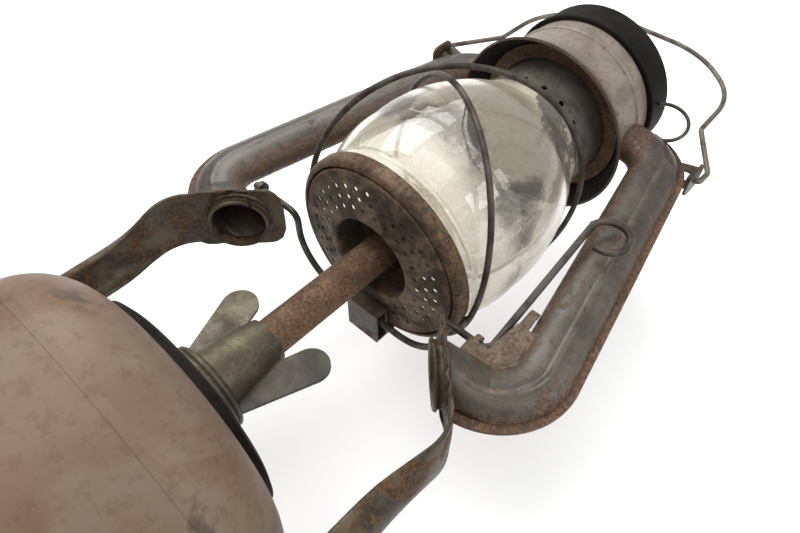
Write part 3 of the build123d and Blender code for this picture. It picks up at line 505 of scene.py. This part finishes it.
dress(TUBES, "right_tube_front", "right_tube_back", "left_tube_front", "left_tube_back")
dress(ARMS, "right_arm", "left_arm", "arm_rivets", "base_ring", "right_bail_ear", "left_bail_ear")
dress(HOOD, "hood_barrel")
dress(SOOT, "hood_cap", "font_top_disc")
dress(clip_sheet(), "hinge_clip")
dress(BELL, "bell")
dress(FONT, "font_cup", "font_dome")
dress(BRASS, "winged_collar", "font_neck")
dress(DARK_BRASS, "wick_tube", "burner_cup", "burner_cone")
dress(RISER, "riser_tube", "bell_guide_ring")
dress(BRACKET, "lever_bracket")
dress(PLATE, "plate_ring", "globe_plate")
dress(DARK_WIRE, "guard_hoop_outer", "guard_hoop_inner", "hood_stay_wire", "left_eyelet", "lift_lever")
dress(BAIL_WIRE, "bail")
dress(cotton(), "wick")
dress(leather(), "neck_gasket")
dress(glass(), "globe")


# ---------------------------------------------------------------- pieces that show what the CAD leaves plain
def piece(name, points, faces, material, body):
    """A mesh from points in millimetres, that rides on a CAD body."""
    mesh = bpy.data.meshes.new(name)
    mesh.from_pydata([Vector(p) * MM for p in points], [], faces)
    mesh.validate()
    for face in mesh.polygons:
        face.use_smooth = True
    mesh.materials.append(material)
    made = bpy.data.objects.new(name, mesh)
    bpy.context.scene.collection.objects.link(made)
    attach(made, body)
    return made


def thicken(points, faces, thick):
    """Turns a sheet's outer face into a closed shell thick millimetres deep."""
    normals = [Vector() for _ in points]
    edges = []
    for face in faces:
        corners = [points[i] for i in face]
        normal = (corners[2] - corners[0]).cross(corners[-1] - corners[1])
        for i, corner in enumerate(face):
            normals[corner] += normal
            edges.append((corner, face[(i + 1) % len(face)]))
    count = len(points)
    inner = [p - n.normalized() * thick for p, n in zip(points, normals)]
    shared = set(edges)
    rims = [(b, a, a + count, b + count) for a, b in edges if (b, a) not in shared]
    backs = [tuple(i + count for i in reversed(face)) for face in faces]
    return list(points) + inner, list(faces) + backs + rims


ARM_OUTER_X = 79.75             # outer face of the upright arm
ARM_FOOT_Z = 4.2
ARM_HALF = 10.0                 # half the width and the depth of the arm's channel
ARM_DEPTH = 7.5
FLATTEN_Z = 94.0                # height where the channel starts to open out flat
BEND_R = 25.0
BEND_TURN = 45.0                # degrees from the upright arm to the flange
NECK_HALF = 14.6                # half the width where the arm meets the flange
FLANGE_HALF = 16.5
FLANGE_CENTRE = (58.5, 149.5)   # x and z of the middle of the air hole, on the flange's upper face
FLANGE_SIDE = 9.0               # how far past the hole's middle the flange's sides run
FLANGE_END = 11.0               # and how much further its rounded end reaches
END_POWER = 0.62                # squareness of that end, 1 for an ellipse
HOLE_R = 13.0
HOLE_RIM_R = HOLE_R + 0.9       # where the flat flange turns down into the hole
# radius and depth of each ring of the hole's rolled lip
HOLE_LIPS = ((HOLE_R - 0.2, 0.5), (HOLE_R - 0.35, 1.6), (HOLE_R - 0.1, 3.0), (HOLE_R + 0.8, 3.4))
FLANGE_RINGS = (1.0, 0.93, 0.72, 0.48, 0.24, 0.07, 0.0)     # shares of the way from HOLE_RIM_R to the outline
EDGE_FROM = 0.7                 # past this share the flange is ragged and bent
SHEET = 1.2
ARM_ROWS = 18                   # mesh rows up the arm and round its bend, and faces across them
BEND_ROWS = 8
ACROSS = 16
SIDE_STEPS = 9                  # outline points along each side of the flange and round its end
END_STEPS = 15
WIDEN_STEPS = 3                 # of those along a side, the ones where the flange widens
WAVES = (17.0, 0.35)            # size and height of the slow waves in the whole sheet


def ripple(point, size, amount, seed):
    """A slow hand-bent unevenness, in millimetres."""
    return amount * noise.noise(Vector(point) / size + Vector((seed, 0, seed * 0.5)))


def arm_stations(side):
    """The middle and the outward direction of each mesh row, up the arm and round its bend."""
    corner_z = sum(FLANGE_CENTRE) - ARM_OUTER_X
    bend_z = corner_z - BEND_R * math.tan(math.radians(BEND_TURN / 2))
    centre = Vector((side * (ARM_OUTER_X - BEND_R), 0, bend_z))
    stations = []
    for i in range(ARM_ROWS + 1):
        z = ARM_FOOT_Z + (bend_z - ARM_FOOT_Z) * i / ARM_ROWS
        stations.append((Vector((side * ARM_OUTER_X, 0, z)), Vector((side, 0, 0))))
    for i in range(1, BEND_ROWS + 1):
        turn = math.radians(BEND_TURN * i / BEND_ROWS)
        out = Vector((side * math.cos(turn), 0, math.sin(turn)))
        stations.append((centre + out * BEND_R, out))
    return stations


def arm_channel(side, seed):
    """Points and quads of the arm, a half-round channel that opens out flat towards the flange."""
    stations = arm_stations(side)
    top_z = stations[-1][0].z
    points, quads = [], []
    for row, (middle, out) in enumerate(stations):
        flat = min(max((middle.z - FLATTEN_Z) / (top_z - FLATTEN_Z), 0.0), 1.0)
        flat = flat * flat * (3 - 2 * flat)
        for i in range(ACROSS + 1):
            share = 2 * i / ACROSS - 1
            angle = math.radians(90 * share)
            y = (1 - flat) * ARM_HALF * math.sin(angle) + flat * NECK_HALF * share
            depth = (1 - flat) * ARM_DEPTH * (1 - math.cos(angle))
            point = middle + Vector((0, y, 0)) - out * depth
            points.append(point + out * ripple(point, *WAVES, seed))
        if row:
            first = (row - 1) * (ACROSS + 1)
            for i in range(ACROSS):
                a, b = first + i, first + i + 1
                quads.append((a, b, b + ACROSS + 1, a + ACROSS + 1))
    return points, quads


def flange_side(start, sign):
    """One side of the flange's outline, which widens just past the arm."""
    side = []
    for i in range(1, SIDE_STEPS + 1):
        narrow = max(1 - i / WIDEN_STEPS, 0.0) ** 2 * (FLANGE_HALF - NECK_HALF)
        side.append((start + (FLANGE_SIDE - start) * i / SIDE_STEPS, sign * (FLANGE_HALF - narrow)))
    return side


def flange_outline(start):
    """The flange's outline in its own plane, from the arm's last row and round, as (along, y)."""
    outline = [(start, NECK_HALF * (2 * i / ACROSS - 1)) for i in range(ACROSS + 1)]
    outline += flange_side(start, 1)
    for i in range(1, END_STEPS + 1):
        turn = math.radians(90 - 180 * i / END_STEPS)
        reach = abs(math.cos(turn)) ** END_POWER
        spread = math.copysign(abs(math.sin(turn)) ** END_POWER, turn)
        outline.append((FLANGE_SIDE + FLANGE_END * reach, FLANGE_HALF * spread))
    return outline + flange_side(start, -1)[::-1]


def arm_sheet(side, name, torn, seed):
    """An arm: a pressed channel that bends over and flattens into the flange with its rolled air hole."""
    points, quads = arm_channel(side, seed)
    out = Vector((side, 0, 1)).normalized()
    along = Vector((-side, 0, 1)).normalized()
    centre = Vector((side * FLANGE_CENTRE[0], 0, FLANGE_CENTRE[1]))

    def flange_point(u, y, share, on_arm):
        """A point of the flange, share of the way from the hole's rim to the outline's point (u, y).

        Its edge is torn by two sizes of raggedness, and bent slowly in and out, most where it is torn.
        """
        turn = math.atan2(y, u)
        rim_u, rim_y = HOLE_RIM_R * math.cos(turn), HOLE_RIM_R * math.sin(turn)
        point = centre + along * (rim_u + (u - rim_u) * share) + Vector((0, rim_y + (y - rim_y) * share, 0))
        edge = 0.0 if on_arm else max(share - EDGE_FROM, 0.0) / (1 - EDGE_FROM)
        ragged = ripple(point, 3.0, torn, seed + 2) + ripple(point, 9.0, 0.8 * torn, seed + 5)
        bent = ripple(point, 14.0, 0.8, seed + 7) - 1.1 * abs(ragged)
        point += (point - centre).normalized() * edge * (ragged - 0.5) + out * edge * bent
        return point + out * ripple(point, *WAVES, seed) * min(share * 3, 1)

    def lip_point(u, y, r, depth):
        """A point of the hole's rolled lip, in the direction of the outline's point (u, y)."""
        turn = math.atan2(y, u)
        return centre + along * r * math.cos(turn) + Vector((0, r * math.sin(turn), 0)) - out * depth

    last_row = len(points) - ACROSS - 1
    outline = flange_outline((points[last_row + ACROSS // 2] - centre).dot(along))
    loops = []
    for share in FLANGE_RINGS:
        loop = []
        for i, (u, y) in enumerate(outline):
            on_arm = i <= ACROSS
            if on_arm and share == 1.0:
                loop.append(last_row + i)
                continue
            points.append(flange_point(u, y, share, on_arm))
            loop.append(len(points) - 1)
        loops.append(loop)
    for r, depth in HOLE_LIPS:
        loops.append(range(len(points), len(points) + len(outline)))
        points += [lip_point(u, y, r, depth) for u, y in outline]
    for outer, inner in zip(loops, loops[1:]):
        for i in range(len(outline)):
            j = (i + 1) % len(outline)
            quads.append((outer[i], outer[j], inner[j], inner[i]))
    faces = quads if side < 0 else [quad[::-1] for quad in quads]
    points, faces = thicken(points, faces, SHEET)
    made = piece(name, points, faces, ARMS, "frame")
    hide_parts("right_arm" if side > 0 else "left_arm")


BLUNT_END = 0.35    # share of a bead's thickness at its ends, and how fast it grows from there
BLUNT_RISE = 2.6


def bead(name, path, thick, body, material, closed=False, seed=0.0):
    """A hand-run bead of solder, swept along path with an uneven thickness and ends that taper a little."""
    path = [Vector(p) for p in path]
    count, sides = len(path), 10
    points, faces = [], []
    for i, middle in enumerate(path):
        ahead = path[(i + 1) % count] if closed or i + 1 < count else middle
        behind = path[i - 1] if closed or i else middle
        way = (ahead - behind).normalized()
        across = (across - way * across.dot(way)).normalized() if points else way.orthogonal().normalized()
        up = way.cross(across)
        end = 1.0 if closed else min(1.0, BLUNT_END + BLUNT_RISE * min(i, count - 1 - i) / count)
        r = thick * end * (1 + ripple(middle, 2.4, 0.3, seed))
        for k in range(sides):
            turn = 2 * math.pi * k / sides
            points.append(middle + (across * math.cos(turn) + up * math.sin(turn)) * r)
    for i in range(count if closed else count - 1):
        j = (i + 1) % count
        for k in range(sides):
            m = (k + 1) % sides
            faces.append((i * sides + k, i * sides + m, j * sides + m, j * sides + k))
    if not closed:
        faces.append(tuple(reversed(range(sides))))
        faces.append(tuple(range((count - 1) * sides, count * sides)))
    piece(name, points, faces, material, body)


def arc(centre, r, start, end, steps, plane):
    """Points along an arc in the plane of two given directions."""
    a, b = Vector(plane[0]).normalized(), Vector(plane[1]).normalized()
    turns = [math.radians(start + (end - start) * i / steps) for i in range(steps + 1)]
    return [Vector(centre) + a * r * math.cos(t) + b * r * math.sin(t) for t in turns]


def solder_work():
    """Solder round the tubes' mouths, and where the hoops, the eyelet and the bracket are joined."""
    right, backward, upward = (1, 0, 0), (0, 1, 0), (0, 0, 1)
    mouth_r, ring_r, seam_r = 14.3, 46.0, 10.6
    for side, word in ((-1, "left"), (1, "right")):
        mouth = arc((side * 58.6, 0, 149.6), mouth_r, 0, 350, 35, ((-side, 0, 1), backward))
        bead(word + "_mouth_solder", mouth, 0.85, "frame", SOLDER, closed=True, seed=side)
    for azimuth, word in ((170, "left"), (20, "right")):
        hoop = arc((0, 0, 181.8), ring_r, azimuth - 8, azimuth + 8, 14, (right, backward))
        bead(word + "_hoop_solder", hoop, 1.9, "globe_carrier", SOLDER, seed=azimuth / 40)
    eyelet = [(-66.0, -0.4 * i, 162.2 + 0.35 * i) for i in range(-3, 4)]
    bead("eyelet_solder", eyelet, 2.0, "frame", SOLDER, seed=4.0)
    seam = arc((66.5, -4.9, 170.0), seam_r, -64, 52, 20, (right, upward))
    bead("bracket_solder", seam, 0.8, "frame", SOLDER, seed=6.0)


def bracket_hook():
    """The curled tongue at the top of the lever's bracket, beside the lever, tapering upwards."""
    curl = [(-4.2, 181.4), (-4.3, 184.0), (-4.8, 187.0), (-5.4, 189.6), (-5.2, 191.8), (-3.9, 193.2),
            (-2.2, 193.3), (-1.0, 192.2), (-0.9, 190.8)]
    edge_x, wide, taper, thick, columns = 67.0, 4.6, 0.22, 0.9, 5
    points, faces = [], []
    for i, (y, z) in enumerate(curl):
        for k in range(columns):
            x = edge_x + (wide - taper * i) * k / (columns - 1)
            points.append(Vector((x, y + ripple((x, y, z), 4.0, 0.25, 3.0), z)))
        if i:
            for k in range(columns - 1):
                a = (i - 1) * columns + k
                faces.append((a, a + 1, a + columns + 1, a + columns))
    points, faces = thicken(points, faces, thick)
    piece("bracket_hook", points, faces, BRACKET, "frame")


arm_sheet(-1, "left_arm_sheet", 0.5, 2.0)
arm_sheet(1, "right_arm_sheet", 1.5, 9.0)
solder_work()
bracket_hook()


# ---------------------------------------------------------------- table top, lights and camera
def stage():
    """A pale table top just behind the lantern's back, which shows from the lantern's side only."""
    behind = cad_box[1].y + 26 * MM
    half = 2.4
    mesh = bpy.data.meshes.new("table_top")
    corners = [(-half, behind, -half), (half, behind, -half), (half, behind, half), (-half, behind, half)]
    mesh.from_pydata(corners, [], [(0, 1, 2, 3)])
    table = bpy.data.objects.new("table_top", mesh)
    bpy.context.scene.collection.objects.link(table)
    material = bpy.data.materials.new("white_table")
    material.use_nodes = True
    tree = material.node_tree
    shader = tree.nodes["Principled BSDF"]
    shader.inputs["Base Color"].default_value = (0.93, 0.93, 0.93, 1.0)
    shader.inputs["Roughness"].default_value = 0.8
    shader.inputs["Emission Color"].default_value = (1.0, 1.0, 1.0, 1.0)
    shader.inputs["Emission Strength"].default_value = 0.12
    side = tree.nodes.new("ShaderNodeNewGeometry")
    clear = tree.nodes.new("ShaderNodeBsdfTransparent")
    blend = tree.nodes.new("ShaderNodeMixShader")
    tree.links.new(side.outputs["Backfacing"], blend.inputs[0])
    tree.links.new(shader.outputs[0], blend.inputs[1])
    tree.links.new(clear.outputs[0], blend.inputs[2])
    tree.links.new(blend.outputs[0], tree.nodes["Material Output"].inputs["Surface"])
    mesh.materials.append(material)


def area_light(name, direction, distance, size, power, target, long_side=None):
    """A soft light of power watts, distance metres from target in the given direction."""
    data = bpy.data.lights.new(name, "AREA")
    data.energy = power
    data.size = size
    if long_side:
        data.shape = "RECTANGLE"
        data.size_y = long_side
    lamp = bpy.data.objects.new(name, data)
    bpy.context.scene.collection.objects.link(lamp)
    way = Vector(direction).normalized()
    lamp.location = target + way * distance
    lamp.rotation_mode = "QUATERNION"
    lamp.rotation_quaternion = way.to_track_quat("Z", "Y")


def lights():
    """Soft daylight from the left and right, from above the table, and a little from behind."""
    target = (cad_box[0] + cad_box[1]) / 2
    area_light("key_window", (-0.62, -0.78, 0.25), 1.0, 0.55, 9, target, 0.8)
    area_light("right_window", (0.75, -0.62, 0.25), 1.1, 0.35, 5, target, 0.7)
    area_light("overhead", (0.0, -1.0, -0.25), 1.2, 0.9, 6, target)
    area_light("back_fill", (-0.2, 0.85, 0.45), 1.3, 1.0, 3, target)
    world = bpy.data.worlds.new("studio")
    world.use_nodes = True
    background = world.node_tree.nodes["Background"]
    background.inputs[0].default_value = (1.0, 1.0, 1.0, 1.0)
    background.inputs[1].default_value = 0.55
    bpy.context.scene.world = world
    bpy.context.scene.view_settings.view_transform = "Standard"


def camera():
    """Looks up the lantern from the font's end, rolled as the picture is."""
    data = bpy.data.cameras.new("camera")
    data.lens = 31.03
    data.sensor_width = 36.0
    data.clip_start = 0.01
    eye = bpy.data.objects.new("camera", data)
    bpy.context.scene.collection.objects.link(eye)
    right = Vector((0.7384, -0.0078, 0.6744))
    back = Vector((0.4334, -0.7607, -0.4833)).normalized()
    up = back.cross(right).normalized()
    right = up.cross(back).normalized()
    turn = Matrix((right, up, back)).transposed().to_4x4()
    eye.matrix_world = Matrix.Translation((0.1359, -0.2174, 0.0388)) @ turn
    bpy.context.scene.camera = eye


stage()
lights()
camera()
